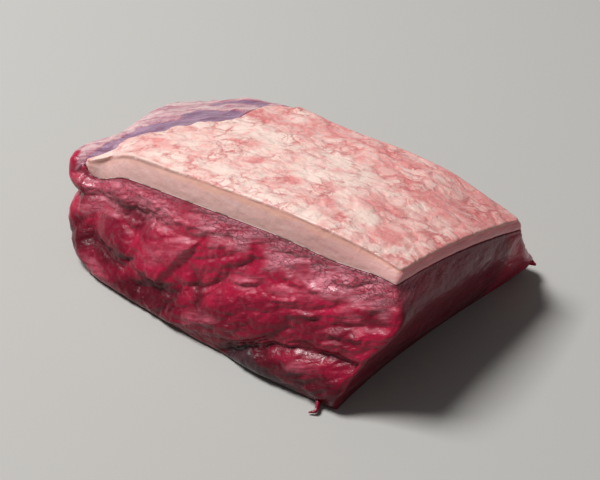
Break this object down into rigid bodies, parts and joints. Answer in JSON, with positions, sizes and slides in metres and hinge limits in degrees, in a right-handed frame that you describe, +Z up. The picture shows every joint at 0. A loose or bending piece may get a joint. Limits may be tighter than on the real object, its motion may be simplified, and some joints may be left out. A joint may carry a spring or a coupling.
{
  "type": "raw beef roasting joint",
  "caption": "Raw beef roasting joint: a squared block of lean beef with lobed muscle on its cut sides, under a trimmed cap of pale fat that gives way to bare silverskin towards one end.",
  "frame": {"origin": "under the middle of the joint's bounding box, on the surface that it lies on", "axes": "+X along the long side towards the knife-cut end, +Y from the long lobed face towards the back, +Z up through the fat cap"},
  "size_m": [0.204, 0.1459, 0.0702],
  "materials": {
    "lean": "moist raw lean meat",
    "fat": "moist pale fat, satin"
  },
  "bodies": {
    "root": {"lean": "lean", "fat_cap": "fat"}
  },
  "joints": []
}
